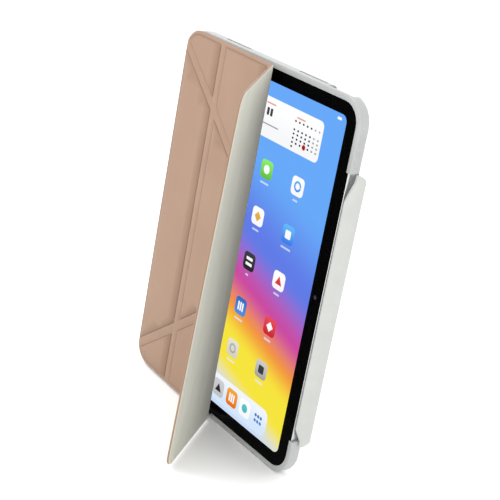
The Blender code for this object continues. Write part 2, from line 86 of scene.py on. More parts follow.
def roundedRect(left, right, low, high, radius, steps=8):
    outline = arc((right - radius, low + radius), radius, -90, 0, steps)
    outline += arc((right - radius, high - radius), radius, 0, 90, steps)
    outline += arc((left + radius, high - radius), radius, 90, 180, steps)
    outline += arc((left + radius, low + radius), radius, 180, 270, steps)
    return outline


def centredRect(x, z, width, height, radius, steps=6):
    return roundedRect(x - width / 2, x + width / 2, z - height / 2, z + height / 2, radius, steps)


def disc(x, z, radius, steps=24):
    return arc((x, z), radius, 0, 360 - 360 / steps, steps - 1)


def facingFront(a, b, level):
    return at(a, level, b)


def facingSide(a, b, level):
    return at(level, a, b)


def addLoft(bm, rings, place, slot=0):
    # rings run from front to back, each with its level and as many points as the others
    rows = [[bm.verts.new(place(a, b, level)) for a, b in ring] for level, ring in rings]
    faces = [bm.faces.new(rows[0]), bm.faces.new(list(reversed(rows[-1])))]
    for near, far in zip(rows, rows[1:]):
        for i in range(len(near)):
            j = (i + 1) % len(near)
            faces.append(bm.faces.new((near[j], near[i], far[i], far[j])))
    for face in faces:
        face.material_index = slot
    return faces


def shaped(name, bm, materials, sharpAngle=40):
    bmesh.ops.recalc_face_normals(bm, faces=bm.faces)
    mesh = bpy.data.meshes.new(name)
    bm.to_mesh(mesh)
    bm.free()
    mesh.shade_smooth()
    mesh.set_sharp_from_angle(angle=math.radians(sharpAngle))
    for material in materials:
        mesh.materials.append(material)
    piece = bpy.data.objects.new(name, mesh)
    bpy.context.scene.collection.objects.link(piece)
    return piece


def asMesh(source, name):
    # the evaluated shape as a plain mesh object; the source goes
    graph = bpy.context.evaluated_depsgraph_get()
    mesh = bpy.data.meshes.new_from_object(source.evaluated_get(graph), depsgraph=graph)
    bpy.data.objects.remove(source, do_unlink=True)
    piece = bpy.data.objects.new(name, mesh)
    bpy.context.scene.collection.objects.link(piece)
    return piece


screenLit = bpy.data.collections.new("lit_by_the_screen")


def fit(piece, body, slot, *nodes):
    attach(piece, body)
    if nodes:
        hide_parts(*nodes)
    if slot == "display":
        piece.light_linking.receiver_collection = screenLit
    return piece


# Materials

def finish(name, baseColor, roughness, **sockets):
    material = bpy.data.materials.new(name)
    material.use_nodes = True
    shader = material.node_tree.nodes["Principled BSDF"]
    shader.inputs["Base Color"].default_value = (*baseColor, 1)
    shader.inputs["Roughness"].default_value = roughness
    for label, value in sockets.items():
        shader.inputs[label.replace("_", " ")].default_value = value
    material.diffuse_color = (*baseColor, 1)
    return material, material.node_tree, shader


def addNode(tree, kind, **settings):
    node = tree.nodes.new("ShaderNode" + kind)
    for key, value in settings.items():
        setattr(node, key, value)
    return node


def objectSpace(tree, stretch=(1, 1, 1), centre=(0, 0, 0)):
    mapping = addNode(tree, "Mapping")
    mapping.inputs["Scale"].default_value = stretch
    mapping.inputs["Location"].default_value = [-c * s for c, s in zip(centre, stretch)]
    tree.links.new(addNode(tree, "TexCoord").outputs["Object"], mapping.inputs["Vector"])
    return mapping.outputs["Vector"]


def grain(tree, vector, perMetre, detail=3.0, roughness=0.5):
    texture = addNode(tree, "TexNoise")
    texture.inputs["Scale"].default_value = perMetre
    texture.inputs["Detail"].default_value = detail
    texture.inputs["Roughness"].default_value = roughness
    tree.links.new(vector, texture.inputs["Vector"])
    return texture.outputs["Fac"]


def spread(tree, value, low, high, fromLow=0.0, fromHigh=1.0, smooth=False):
    ramp = addNode(tree, "MapRange")
    if smooth:
        ramp.interpolation_type = "SMOOTHSTEP"
    for label, number in zip(("From Min", "From Max", "To Min", "To Max"), (fromLow, fromHigh, low, high)):
        ramp.inputs[label].default_value = number
    tree.links.new(value, ramp.inputs["Value"])
    return ramp.outputs["Result"]


def calculate(tree, operation, a, b=0.0):
    node = addNode(tree, "Math", operation=operation)
    for socket, value in zip(node.inputs, (a, b)):
        if isinstance(value, (int, float)):
            socket.default_value = value
        else:
            tree.links.new(value, socket)
    return node.outputs["Value"]


def blendColors(tree, factor, first, second):
    node = addNode(tree, "Mix", data_type="RGBA")
    for socket, value in ((node.inputs["Factor"], factor), (node.inputs[6], first), (node.inputs[7], second)):
        if isinstance(value, (int, float)):
            socket.default_value = value
        elif isinstance(value, tuple):
            socket.default_value = (*value, 1)
        else:
            tree.links.new(value, socket)
    return node.outputs[2]


def roughen(tree, shader, height, strength, depth):
    bump = addNode(tree, "Bump")
    bump.inputs["Strength"].default_value = strength
    bump.inputs["Distance"].default_value = depth
    tree.links.new(height, bump.inputs["Height"])
    tree.links.new(bump.outputs["Normal"], shader.inputs["Normal"])


def coatedFabric():
    material, tree, shader = finish("rose_coated_fabric", (0.29, 0.187, 0.125), 0.5, Sheen_Weight=0.1,
                                    Sheen_Roughness=0.4, Sheen_Tint=(1, 0.86, 0.8, 1))
    space = objectSpace(tree)
    cloudy = spread(tree, grain(tree, space, 22, 2), 0, 1, 0.35, 0.65)
    fine = grain(tree, space, 1900, 4, 0.6)
    tone = blendColors(tree, cloudy, (0.263, 0.157, 0.099), (0.285, 0.175, 0.111))
    tone = blendColors(tree, spread(tree, fine, 0, 0.2, 0.3, 0.7), tone, (0.235, 0.142, 0.092))
    # painted shade: a vertex attribute darkens the rose to dark brown along each pressed line, where shade falls
    # at the foot of the groove
    pressed_line_shade = addNode(tree, "Attribute", attribute_name="pressed_line_shade")
    tree.links.new(blendColors(tree, calculate(tree, "MULTIPLY", pressed_line_shade.outputs["Fac"], 0.7), tone,
                               (0.125, 0.07, 0.043)), shader.inputs["Base Color"])
    tree.links.new(spread(tree, fine, 0.44, 0.6, 0.3, 0.7), shader.inputs["Roughness"])
    roughen(tree, shader, fine, 0.35, 0.00012)
    return material


def microfibre():
    material, tree, shader = finish("grey_microfibre", (0.54, 0.53, 0.44), 0.92, Sheen_Weight=0.25,
                                    Sheen_Roughness=0.5)
    space = objectSpace(tree)
    cloudy = spread(tree, grain(tree, objectSpace(tree, (1, 1, 0.22)), 90, 4, 0.65), 0, 1, 0.3, 0.7)
    fibres = grain(tree, space, 2600, 3, 0.7)
    tone = blendColors(tree, cloudy, (0.47, 0.464, 0.39), (0.55, 0.543, 0.468))
    tree.links.new(blendColors(tree, spread(tree, fibres, 0, 0.3, 0.3, 0.7), tone, (0.38, 0.37, 0.3)),
                   shader.inputs["Base Color"])
    wrinkles = grain(tree, objectSpace(tree, (1, 1, 0.3)), 130, 2)
    height = calculate(tree, "ADD", calculate(tree, "MULTIPLY", fibres, 0.15), wrinkles)
    roughen(tree, shader, height, 0.5, 0.0006)
    return material


def frostedShell(name, tone, roughness, transmission, grainDepth):
    material, tree, shader = finish(name, tone, roughness, IOR=1.46, Transmission_Weight=transmission)
    space = objectSpace(tree)
    cloudy = spread(tree, grain(tree, space, 70, 3), 0, 1, 0.3, 0.7)
    darker = tuple(c * 0.93 for c in tone)
    tree.links.new(blendColors(tree, cloudy, darker, tone), shader.inputs["Base Color"])
    tree.links.new(spread(tree, grain(tree, space, 300, 2), roughness * 0.85, roughness * 1.15, 0.3, 0.7),
                   shader.inputs["Roughness"])
    roughen(tree, shader, grain(tree, space, 900, 2), 0.25, grainDepth)
    return material


def blastedMetal(name, tone, roughness):
    material, tree, shader = finish(name, tone, roughness, Metallic=1.0)
    fine = grain(tree, objectSpace(tree), 6000, 2)
    tree.links.new(spread(tree, fine, roughness * 0.9, roughness * 1.2, 0.3, 0.7), shader.inputs["Roughness"])
    roughen(tree, shader, fine, 0.2, 0.00004)
    return material


def mouldedPlastic(name, tone, roughness, speckle=0.85, perMetre=1500):
    material, tree, shader = finish(name, tone, roughness)
    fine = grain(tree, objectSpace(tree), perMetre, 2)
    darker = tuple(c * speckle for c in tone)
    tree.links.new(blendColors(tree, spread(tree, fine, 0, 1, 0.3, 0.7), darker, tone),
                   shader.inputs["Base Color"])
    roughen(tree, shader, fine, 0.2, 0.00005)
    return material


def borderGlass():
    material, tree, shader = finish("black_border_glass", (0.0008, 0.0008, 0.001), 0.12, IOR=1.5)
    shader.inputs["Specular IOR Level"].default_value = 0.02
    smears = grain(tree, objectSpace(tree), 35, 3)
    tree.links.new(spread(tree, smears, 0.09, 0.2, 0.3, 0.7), shader.inputs["Roughness"])
    return material


def coatedLens():
    material, tree, shader = finish("coated_lens", (0.004, 0.005, 0.012), 0.05, IOR=1.6)
    # the purple towards glancing angles is a painted reflection of the lens coating, mixed into the base colour
    paintedCoatingReflection = addNode(tree, "LayerWeight")
    paintedCoatingReflection.inputs["Blend"].default_value = 0.4
    tree.links.new(blendColors(tree, paintedCoatingReflection.outputs["Facing"], (0.004, 0.005, 0.012), (0.05, 0.03, 0.09)),
                   shader.inputs["Base Color"])
    return material


def screenInk(name, low, high, cover=1.0):
    # a lit colour that runs from one tone to another across the height of each row of tiles
    material, tree, shader = finish(name, (0, 0, 0), 0.35, Emission_Strength=1.0, Alpha=cover)
    shader.inputs["Specular IOR Level"].default_value = 0.0
    height = addNode(tree, "SeparateXYZ")
    tree.links.new(objectSpace(tree, (1 / mm,) * 3, origin), height.inputs["Vector"])
    pitch = screen["rowPitch"]
    local = addNode(tree, "Math", operation="WRAP")
    tree.links.new(calculate(tree, "SUBTRACT", height.outputs["Z"], screen["rows"][2]), local.inputs[0])
    local.inputs[1].default_value, local.inputs[2].default_value = pitch / 2, -pitch / 2
    share = spread(tree, local.outputs["Value"], 0, 1, -screen["tile"] / 2, screen["tile"] / 2)
    tree.links.new(blendColors(tree, share, low, high), shader.inputs["Emission Color"])
    return material


# Wallpaper: one plain lit gradient up the screen

wallpaper = {
    "lean": 0.3, "foot": (0.60, 0.72, 0.95),
    "bands": (
        (-100, -74, (0.93, 0.78, 0.05)), (-58, -34, (0.90, 0.30, 0.05)), (-40, -14, (0.60, 0.07, 0.36)),
        (-18, 18, (0.12, 0.20, 0.80)), (18, 70, (0.14, 0.40, 0.95)),
    ),
}


def wallpaperLight():
    look = wallpaper
    material, tree, shader = finish("lit_wallpaper", (0, 0, 0), 0.3, Emission_Strength=1.0)
    shader.inputs["Specular IOR Level"].default_value = 0.0
    parts = addNode(tree, "SeparateXYZ")
    tree.links.new(objectSpace(tree, (1 / mm,) * 3, origin), parts.inputs["Vector"])
    lean = calculate(tree, "MULTIPLY", parts.outputs["X"], look["lean"])
    height = calculate(tree, "ADD", parts.outputs["Z"], lean)
    picture = look["foot"]
    for start, end, tone in look["bands"]:
        picture = blendColors(tree, spread(tree, height, 0, 1, start, end, smooth=True), picture, tone)
    tree.links.new(picture, shader.inputs["Emission Color"])
    return material


mats = {
    "rose": coatedFabric(),
    "lining": microfibre(),
    "softShell": frostedShell("frosted_soft_shell", (0.475, 0.487, 0.483), 0.38, 0.2, 0.0001),
    "hardShell": frostedShell("clear_back_panel", (0.88, 0.89, 0.9), 0.14, 0.75, 0.00002),
    "milky": frostedShell("milky_flap", (0.485, 0.497, 0.47), 0.45, 0.05, 0.0001),
    "metal": blastedMetal("blasted_aluminium", (0.62, 0.63, 0.65), 0.34),
    "ringMetal": blastedMetal("polished_ring", (0.5, 0.51, 0.53), 0.18),
    "steel": blastedMetal("sheet_steel", (0.58, 0.57, 0.55), 0.3),
    "magnet": blastedMetal("nickel_magnet", (0.45, 0.45, 0.46), 0.38),
    "glass": borderGlass(),
    "lens": coatedLens(),
    "black": mouldedPlastic("black_moulding", (0.02, 0.02, 0.022), 0.5),
    "diffuser": mouldedPlastic("white_film", (0.8, 0.8, 0.8), 0.6, 0.95),
    "battery": mouldedPlastic("battery_wrap", (0.06, 0.06, 0.065), 0.5, 0.7, 700),
    "board": mouldedPlastic("circuit_board_mask", (0.02, 0.07, 0.05), 0.4, 0.6, 900),
    "flex": mouldedPlastic("flex_film", (0.45, 0.22, 0.05), 0.4, 0.8),
    "stiffener": mouldedPlastic("grey_board", (0.3, 0.3, 0.31), 0.8, 0.8, 2500),
    "panel": mouldedPlastic("display_stack", (0.03, 0.04, 0.06), 0.3),
    "wallpaper": wallpaperLight(),
}
print("materials ready:", len(mats))


# Repeated marks: a grid of soft-edged bars

def markTree():
    tree = bpy.data.node_groups.new("mark_grid", "GeometryNodeTree")
    tree.interface.new_socket("Geometry", in_out="OUTPUT", socket_type="NodeSocketGeometry")
    for label, kind in (("Columns", "Int"), ("Rows", "Int"), ("Width", "Float"), ("Height", "Float"),
                        ("Mark size", "Vector"), ("Middle", "Vector"), ("Turn", "Vector"),
                        ("Finish", "Material")):
        tree.interface.new_socket(label, in_out="INPUT", socket_type="NodeSocket" + kind)
    given = tree.nodes.new("NodeGroupInput").outputs
    grid = tree.nodes.new("GeometryNodeMeshGrid")
    mark = tree.nodes.new("GeometryNodeMeshIcoSphere")
    mark.inputs["Radius"].default_value = 1.0
    mark.inputs["Subdivisions"].default_value = 2
    sized = tree.nodes.new("GeometryNodeTransform")
    spreadOut = tree.nodes.new("GeometryNodeInstanceOnPoints")
    placed = tree.nodes.new("GeometryNodeTransform")
    real = tree.nodes.new("GeometryNodeRealizeInstances")
    painted = tree.nodes.new("GeometryNodeSetMaterial")
    out = tree.nodes.new("NodeGroupOutput")
    link = tree.links.new
    link(given["Columns"], grid.inputs["Vertices X"])
    link(given["Rows"], grid.inputs["Vertices Y"])
    link(given["Width"], grid.inputs["Size X"])
    link(given["Height"], grid.inputs["Size Y"])
    link(mark.outputs["Mesh"], sized.inputs["Geometry"])
    link(given["Mark size"], sized.inputs["Scale"])
    link(grid.outputs["Mesh"], spreadOut.inputs["Points"])
    link(sized.outputs["Geometry"], spreadOut.inputs["Instance"])
    link(spreadOut.outputs["Instances"], placed.inputs["Geometry"])
    link(given["Middle"], placed.inputs["Translation"])
    link(given["Turn"], placed.inputs["Rotation"])
    link(placed.outputs["Geometry"], real.inputs["Geometry"])
    link(real.outputs["Geometry"], painted.inputs["Geometry"])
    link(given["Finish"], painted.inputs["Material"])
    link(painted.outputs["Geometry"], out.inputs["Geometry"])
    return tree


marks = markTree()
towardFront = (math.radians(90), 0, 0)
towardSide = (math.radians(90), 0, math.radians(90))


def markGrid(name, material, columns, rows, width, height, size, middle, turn=towardFront):
    # size is half a mark's width, height and depth; the grid stands upright, facing front or side
    holder = bpy.data.objects.new(name + "_maker", bpy.data.meshes.new(name + "_maker"))
    bpy.context.scene.collection.objects.link(holder)
    modifier = holder.modifiers.new("marks", "NODES")
    modifier.node_group = marks
    values = {"Columns": columns, "Rows": rows, "Width": width * mm, "Height": height * mm,
              "Mark size": tuple(s * mm for s in size), "Middle": tuple(at(*middle)), "Turn": turn,
              "Finish": material}
    for item in marks.interface.items_tree:
        if item.in_out == "INPUT":
            modifier[item.identifier] = values[item.name]
    holder.update_tag()
    bpy.context.view_layer.update()
    return asMesh(holder, name)


# Screen picture: thin lit layers in front of the glass

screen = {
    "width": 157.79, "height": 227.06, "corner": 4.6,
    "wallpaperLevel": 0.03, "tileLevel": -0.02, "glyphLevel": -0.06, "layer": 0.04,
    "tile": 12.2, "tileCorner": 2.9, "rowPitch": 31.8,
    "columns": (-51.2, -18.4, 14.4, 47.2), "rows": (58.6, 26.6, -5, -37.2, -68),
    "dockColumns": (-55, -39.5, -24, -8.5, 7.3, 23.3, 38.5, 53.8),
    "dockRow": -101.2, "dockHalf": 63, "dockHeight": 19, "dockCorner": 5.4,
}
inkTones = {
    "white": ((0.93, 0.94, 0.96), (1, 1, 1)), "ink": ((0.03, 0.03, 0.035), (0.06, 0.06, 0.07)),
    "fade": ((0.35, 0.36, 0.38), (0.45, 0.46, 0.48)), "red": ((0.60, 0.02, 0.03), (0.84, 0.08, 0.10)),
    "softRed": ((0.78, 0.26, 0.24), (0.82, 0.36, 0.32)), "green": ((0.12, 0.52, 0.03), (0.27, 0.88, 0.17)),
    "blue": ((0.045, 0.19, 0.80), (0.13, 0.52, 0.97)), "deepBlue": ((0.09, 0.28, 0.72), (0.035, 0.13, 0.50)),
    "orange": ((0.80, 0.17, 0.01), (0.92, 0.42, 0.04)),
    "grey": ((0.34, 0.34, 0.33), (0.62, 0.62, 0.60)), "dark": ((0.018, 0.018, 0.02), (0.05, 0.05, 0.055)),
    "teal": ((0.05, 0.45, 0.50), (0.12, 0.62, 0.66)), "violet": ((0.22, 0.08, 0.55), (0.40, 0.18, 0.75)),
    "cream": ((0.64, 0.62, 0.50), (0.80, 0.78, 0.68)), "dock": ((0.66, 0.80, 0.97), (0.88, 0.92, 0.98)),
    "label": ((0.72, 0.82, 0.96), (0.82, 0.88, 0.98), 0.45),
    "tray": ((0.52, 0.53, 0.54), (0.62, 0.63, 0.64)), "slate": ((0.018, 0.02, 0.022), (0.035, 0.038, 0.04)),
    "gold": ((0.70, 0.36, 0.03), (0.82, 0.50, 0.08)),
}


class Artwork:
    # collects thin lit layers into one piece, with one material for each ink
    def __init__(self):
        self.bm = bmesh.new()
        self.inks = []

    def layer(self, ink, outline, level):
        if ink not in self.inks:
            self.inks.append(ink)
        rings = [(level, outline), (level + screen["layer"], outline)]
        addLoft(self.bm, rings, facingFront, self.inks.index(ink))

    def tile(self, ink, x, z):
        size = screen["tile"]
        self.layer(ink, centredRect(x, z, size, size, screen["tileCorner"]), screen["tileLevel"])

    def glyph(self, ink, outline):
        self.layer(ink, outline, screen["glyphLevel"])

    def label(self, x, z, width):
        self.layer("label", centredRect(x, z - 9.2, width, 1.3, 0.6), screen["tileLevel"])

    def done(self, name):
        materials = [screenInk(f"{name}_{ink}", *inkTones[ink]) for ink in self.inks]
        piece = shaped(name, self.bm, materials, 30)
        return fit(piece, "tablet_and_shell", "display")


def moved(outline, x, z, size=1.0):
    return [(x + a * size, z + b * size) for a, b in outline]


# Plain geometric marks, none of them the sign of a real program

def discMark(x, z):
    return [disc(x, z, 3.0, 28)]


def ringMark(x, z):
    return [arc((x, z), 3.5, 0, 354, 32) + arc((x, z), 2.1, 354, 0, 32)]


def diamondMark(x, z):
    return [moved([(-3.4, 0), (0, -3.4), (3.4, 0), (0, 3.4)], x, z)]


def squareMark(x, z):
    return [centredRect(x, z, 5.6, 5.6, 0.9)]


def triangleMark(x, z):
    return [moved([(-3.4, -2.6), (3.4, -2.6), (0, 3.3)], x, z)]


def barsMark(x, z):
    return [centredRect(x, z + side * 1.9, 6.8, 2.0, 0.6) for side in (-1, 1)]


def columnsMark(x, z):
    return [centredRect(x + side * 2.3, z, 1.5, 6.2, 0.5) for side in (-1, 0, 1)]


def dotsMark(x, z):
    return [disc(x + a * 2.9, z + b * 1.9, 1.2, 14) for a in (-1, 0, 1) for b in (-1, 1)]


def markedTile(art, tileInk, shape, ink, x, z):
    art.tile(tileInk, x, z)
    for outline in shape(x, z):
        art.glyph(ink, outline)


def makeScreenPicture():
    half = (screen["width"] / 2, screen["height"] / 2)
    bm = bmesh.new()
    outline = roundedRect(-half[0], half[0], -half[1], half[1], screen["corner"], 10)
    level = screen["wallpaperLevel"]
    addLoft(bm, [(level, outline), (level + screen["layer"], outline)], facingFront)
    fit(shaped("screen_wallpaper", bm, [mats["wallpaper"]], 30), "tablet_and_shell", "display")

    art = Artwork()
    c, r = screen["columns"], screen["rows"]
    tiles = (
        (c[2], r[0], "green", discMark, "white", 9), (c[3], r[0], "white", ringMark, "blue", 5),
        (c[2], r[1], "white", diamondMark, "gold", 7), (c[3], r[1], "blue", squareMark, "white", 10),
        (c[2], r[2], "dark", barsMark, "white", 3), (c[3], r[2], "white", triangleMark, "red", 6),
        (c[2], r[3], "deepBlue", columnsMark, "white", 9), (c[3], r[3], "red", diamondMark, "white", 7),
        (c[2], r[4], "cream", ringMark, "fade", 9), (c[3], r[4], "grey", squareMark, "ink", 8),
    )
    for x, z, tileInk, shape, ink, width in tiles:
        markedTile(art, tileInk, shape, ink, x, z)
        art.label(x, z, width)
    hidden = ("orange", "teal", "blue", "violet", "green")
    for row, z in enumerate(r):
        for column, x in enumerate(c[:2]):
            markedTile(art, hidden[(row + column) % len(hidden)], discMark, "white", x, z)
            art.label(x, z, 8)
    art.layer("white", centredRect(72.4, 110.4, 4.0, 1.7, 0.7), screen["tileLevel"])
    art.done("home_screen_tiles")

    art = Artwork()
    z = screen["dockRow"]
    wide, high = screen["dockHalf"], screen["dockHeight"]
    art.layer("dock", roundedRect(-wide, wide, z - high / 2, z + high / 2, screen["dockCorner"]), 0.0)
    row = (
        ("green", discMark, "white"), ("blue", ringMark, "white"), ("violet", squareMark, "white"),
        ("red", barsMark, "white"), ("tray", triangleMark, "slate"), ("orange", columnsMark, "white"),
        ("white", discMark, "teal"), ("dock", dotsMark, "deepBlue"),
    )
    for x, (tileInk, shape, ink) in zip(screen["dockColumns"], row):
        markedTile(art, tileInk, shape, ink, x, z)
    art.done("dock_tiles")
    print("screen tiles placed")


calendar = {
    "left": -1.5, "right": 60.4, "low": 77.8, "high": 104, "corner": 3.6, "firstColumn": 33.6,
    "columnStep": 3.95, "rowStep": 2.7, "headRow": 96.8, "firstRow": 91.4, "weeks": 4,
    "dateColumns": (5.0, 8.6), "dateMiddle": 94.6,
}


def makeCalendar():
    look = calendar
    art = Artwork()
    art.layer("white", roundedRect(look["left"], look["right"], look["low"], look["high"], look["corner"]),
              screen["tileLevel"])
    art.glyph("softRed", centredRect(7.2, 100.0, 9.5, 1.0, 0.45))
    art.glyph("softRed", centredRect(38.4, 99.2, 8.5, 1.0, 0.45))
    art.glyph("fade", centredRect(9.5, 86.4, 17, 0.9, 0.4))
    step, rise, first = look["columnStep"], look["rowStep"], look["firstColumn"]
    weeks, level = look["weeks"], screen["glyphLevel"]
    lastRow = look["firstRow"] - (weeks - 1) * rise
    art.glyph("red", disc(first + 3 * step, lastRow, 1.75, 20))
    # two plain blocks stand where a date would be
    for x in look["dateColumns"]:
        art.glyph("ink", centredRect(x, look["dateMiddle"], 2.4, 5.0, 0.6))
    art.done("calendar_card")
    dark = screenInk("calendar_dark_mark", *inkTones["ink"])
    faded = screenInk("calendar_faded_mark", *inkTones["fade"])
    size = (0.95, 0.7, 0.03)
    middleRow, tall = (look["firstRow"] + lastRow) / 2, look["firstRow"] - lastRow
    weekday, weekend = first + 2 * step, first + 5.5 * step
    grids = (
        ("calendar_headings", dark, 5, 1, step * 4, 0, (weekday, level, look["headRow"])),
        ("calendar_end_headings", faded, 2, 1, step, 0, (weekend, level, look["headRow"])),
        ("calendar_weekdays", dark, 5, weeks, step * 4, tall, (weekday, level, middleRow)),
        ("calendar_weekends", faded, 2, weeks, step, tall, (weekend, level, middleRow)),
        ("calendar_last_day", dark, 1, 1, 0, 0, (first, level, lastRow - rise)),
    )
    for name, ink, columns, rows, width, height, middle in grids:
        piece = markGrid(name, ink, columns, rows, width, height, size, middle)
        fit(piece, "tablet_and_shell", "display")
    print("calendar placed")


# Glass, housing and other hard pieces

def makeGlass():
    low, high = boxMm("front_glass")
    halfW, halfH = (high.x - low.x) / 2, (high.z - low.z) / 2
    corner, edge = 14.35, 0.35
    steps = 4
    rings = []
    for step in range(steps + 1):
        angle = math.radians(90 * step / steps)
        inset = edge * (1 - math.sin(angle))
        outline = roundedRect(inset - halfW, halfW - inset, inset - halfH, halfH - inset,
                              corner - inset, 16)
        rings.append((low.y + edge * (1 - math.cos(angle)), outline))
    rings.append((high.y, rings[-1][1]))
    bm = bmesh.new()
    addLoft(bm, rings, facingFront)
    piece = shaped("cover_glass", bm, [mats["glass"]])
    screenLit.objects.link(fit(piece, "tablet_and_shell", "cover_glass", "front_glass"))


def refined(node, width, segments, materialName, slot, limit=30):
    # the same shape with its edges rounded off
    bm = bmesh.new()
    bm.from_mesh(frame["nodes"][node].data)
    bmesh.ops.remove_doubles(bm, verts=bm.verts, dist=0.005 * mm)
    bmesh.ops.dissolve_limit(bm, angle_limit=math.radians(1), verts=bm.verts, edges=bm.edges)
    source = shaped(node + "_source", bm, [mats[materialName]], 35)
    bevel = source.modifiers.new("soft_edges", "BEVEL")
    bevel.width = width * mm
    bevel.segments = segments
    bevel.limit_method = "ANGLE"
    bevel.angle_limit = math.radians(limit)
    bevel.use_clamp_overlap = True
    piece = asMesh(source, node + "_finished")
    piece.data.shade_smooth()
    piece.data.set_sharp_from_angle(angle=math.radians(50))
    return fit(piece, bodyOf[node], slot, node)


refinedNodes = {
    "housing": (0.12, 2, "metal", "anodised_aluminium"),
    "shell_bumper": (0.3, 3, "softShell", "frosted_clear_soft"),
    "shell_back_panel": (0.2, 2, "hardShell", "frosted_clear_hard"),
    "pencil_flap": (0.4, 3, "milky", "milky_soft"),
    "camera_ring": (0.12, 3, "ringMetal", "camera_ring"),
    "power_button": (0.2, 3, "metal", "anodised_aluminium"),
    "volume_up_button": (0.2, 3, "metal", "anodised_aluminium"),
    "volume_down_button": (0.2, 3, "metal", "anodised_aluminium"),
    "usb_c_port": (0.12, 2, "steel", "steel"),
    "rear_camera": (0.15, 2, "lens", "camera_lens"),
}
keptNodes = {
    "display_panel": "panel", "display_frame": "black", "backlight": "diffuser", "front_camera": "lens",
    "light_sensor": "lens", "battery_left": "battery", "battery_right": "battery", "logic_board": "board",
    "processor_shield": "steel", "memory_shield": "steel", "speaker_top_left": "black",
    "speaker_top_right": "black", "speaker_bottom_left": "black", "speaker_bottom_right": "black",
    "port_flex_cable": "flex", "button_flex_cable": "flex", "side_magnet": "magnet",
    "board_screw_1": "steel", "board_screw_2": "steel", "board_screw_3": "steel", "board_screw_4": "steel",
    "accessory_contacts": "steel", "spine_board": "stiffener", "inner_board_top": "stiffener",
    "inner_board_middle": "stiffener", "inner_board_bottom": "stiffener", "middle_board_top": "stiffener",
    "middle_board_middle": "stiffener", "middle_board_bottom": "stiffener",
}


def finishHardPieces():
    makeGlass()
    for node, (width, segments, materialName, slot) in refinedNodes.items():
        refined(node, width, segments, materialName, slot)
    for node, materialName in keptNodes.items():
        data = frame["nodes"][node].data
        data.materials.clear()
        data.materials.append(mats[materialName])
    print("hard pieces finished:", len(refinedNodes), "refined,", len(keptNodes), "kept")


buttonPads = {
    "margin": 0.42, "edge": 0.3, "corner": 1.9, "ribs": 7, "ribRun": 9.0, "ribSize": (1.2, 0.34, 0.2),
}


def makeButtonPads():
    # soft pads of the shell over the volume keys, each with a row of ribs
    look = buttonPads
    for key in ("up", "down"):
        node = f"volume_{key}_pad"
        low, high = boxMm(node)
        rings = []
        for inset, level in ((0, low.x), (0, high.x - look["edge"]), (0.1, high.x - 0.1), (0.35, high.x)):
            grow = look["margin"] - inset
            outline = roundedRect(low.y - grow, high.y + grow, low.z - grow, high.z + grow,
                                  look["corner"] - inset, 10)
            rings.append((level, outline))
        bm = bmesh.new()
        addLoft(bm, rings, facingSide)
        body = f"volume_{key}_key"
        fit(shaped(node + "_soft", bm, [mats["softShell"]], 60), body, "frosted_clear_soft", node)
        middle = (high.x, (low.y + high.y) / 2, (low.z + high.z) / 2)
        ribs = markGrid(f"volume_{key}_ribs", mats["softShell"], 1, look["ribs"], 0, look["ribRun"],
                        look["ribSize"], middle, towardSide)
        ribs.data.shade_smooth()
        fit(ribs, body, "frosted_clear_soft")


def addSmallDetails():
    makeButtonPads()
    camera = boxMm("front_camera")
    x, z = (camera[0].x + camera[1].x) / 2, (camera[0].z + camera[1].z) / 2
    bm = bmesh.new()
    addLoft(bm, [(0.0, disc(x, z, 1.3, 32)), (0.06, disc(x, z, 1.3, 32))], facingFront)
    fit(shaped("front_camera_window", bm, [mats["lens"]]), "tablet_and_shell", "camera_lens")
    print("small details placed")


# Folding cover

def hingePoint(name):
    point = inMm(joints[name]["pos_m"])
    return Vector((point.x, point.y))


def coverMeasures():
    backCorner, corner = hingePoint("spine_hinge"), hingePoint("cover_hinge")
    crease, fold = hingePoint("crease_hinge"), hingePoint("fold_hinge")
    stripHigh, flapLow = boxMm("back_strip")[1], boxMm("flap_skin")[0]
    panelLow, panelHigh = boxMm("inner_skin")
    along = fold - corner
    openAngle = math.degrees(math.atan2(along.y, along.x))
    flapAngle = openAngle + joints["fold_hinge"]["range_deg"][0]
    return {
        "backCorner": backCorner, "corner": corner, "openAngle": openAngle, "flapAngle": flapAngle,
        "spine": (backCorner - corner).length, "crease": (crease - corner).length, "fold": along.length,
        "flap": (fold.y - flapLow.y) / math.sin(math.radians(-flapAngle)),
        "strip": stripHigh.x - backCorner.x, "stripHalf": stripHigh.z,
        "top": panelHigh.z, "bottom": -panelLow.z,
    }


measured = coverMeasures()
cover = {
    "thickness": 1.9, "stripThickness": 0.8, "border": 2.6, "creaseHalf": 3.5,
    "recess": 0.22, "lineDepth": 0.48, "step": 0.4, "lineRun": 0.6,
    "junction": 80.2, "slopeIn": 0.75, "slopeOut": 0.78,
    "corner": 16.5, "freeCorner": 9.0, "stripCorner": 6.0,
    "backBend": 2.0, "frontBend": 2.4, "foldBend": 0.8, "liningInset": 0.3, "liningEdge": 0.6, "wave": 0.05,
    "twistTop": 1.0, "twistBottom": -2.8, "cornerDrop": 5.0,
}
spineU = -measured["spine"]
stripU = spineU - measured["strip"]
foldU = measured["fold"]
creaseU = measured["crease"]
endU = foldU + measured["flap"]


def direction(angle):
    return Vector((math.cos(math.radians(angle)), math.sin(math.radians(angle))))


def bends():
    corner, back = measured["corner"], measured["backCorner"]
    alongPanel = direction(measured["openAngle"])
    return (
        (spineU, back, 180, 270, cover["backBend"]),
        (0.0, corner, 270, 360 + measured["openAngle"], cover["frontBend"]),
        (foldU, corner + alongPanel * foldU, measured["openAngle"], measured["flapAngle"], cover["foldBend"]),
    )


def bendReach(angleIn, angleOut, radius):
    return radius * math.tan(math.radians(abs(angleOut - angleIn)) / 2)


